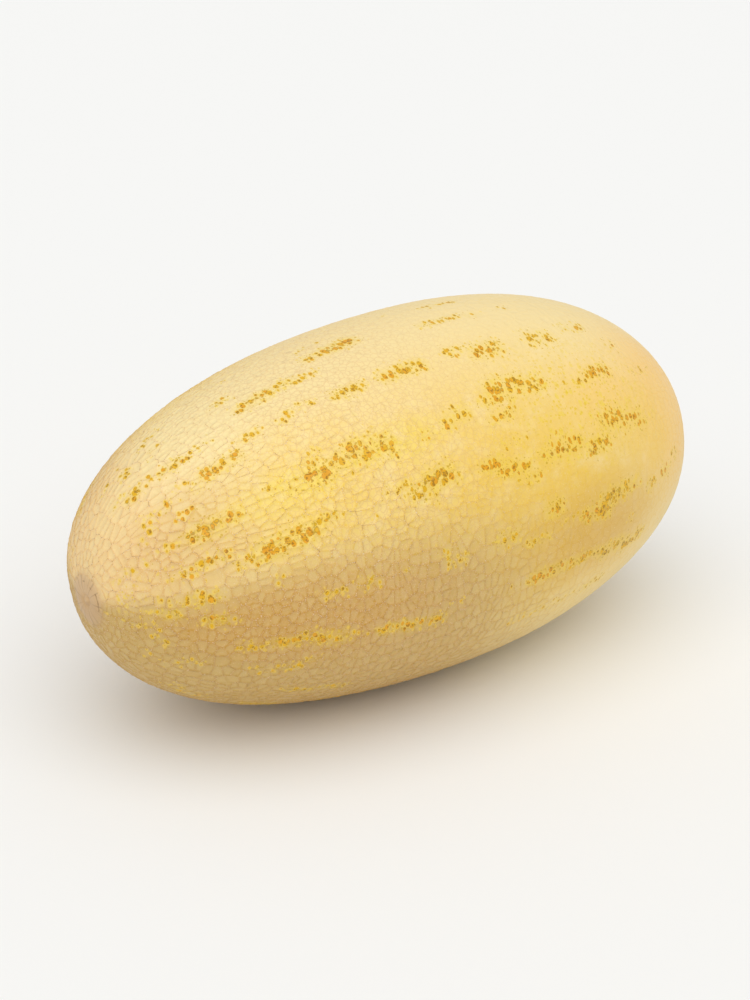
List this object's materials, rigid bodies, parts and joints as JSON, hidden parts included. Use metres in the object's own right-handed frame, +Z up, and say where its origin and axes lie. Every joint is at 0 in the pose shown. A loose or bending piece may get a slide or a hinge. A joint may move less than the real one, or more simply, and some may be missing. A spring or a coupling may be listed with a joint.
{
  "type": "melon",
  "caption": "Long netted melon with a yellow rind, whole and without its stalk, lying on its side on a small flat spot.",
  "frame": {"origin": "on the resting surface, under the middle of the melon's bounding box", "axes": "+Z up; X along the melon, with the blossom end at -X and the stem end at +X; Y across it"},
  "size_m": [0.333, 0.174, 0.1694],
  "materials": {
    "rind": null
  },
  "bodies": {
    "root": {"melon": "rind"}
  },
  "joints": []
}
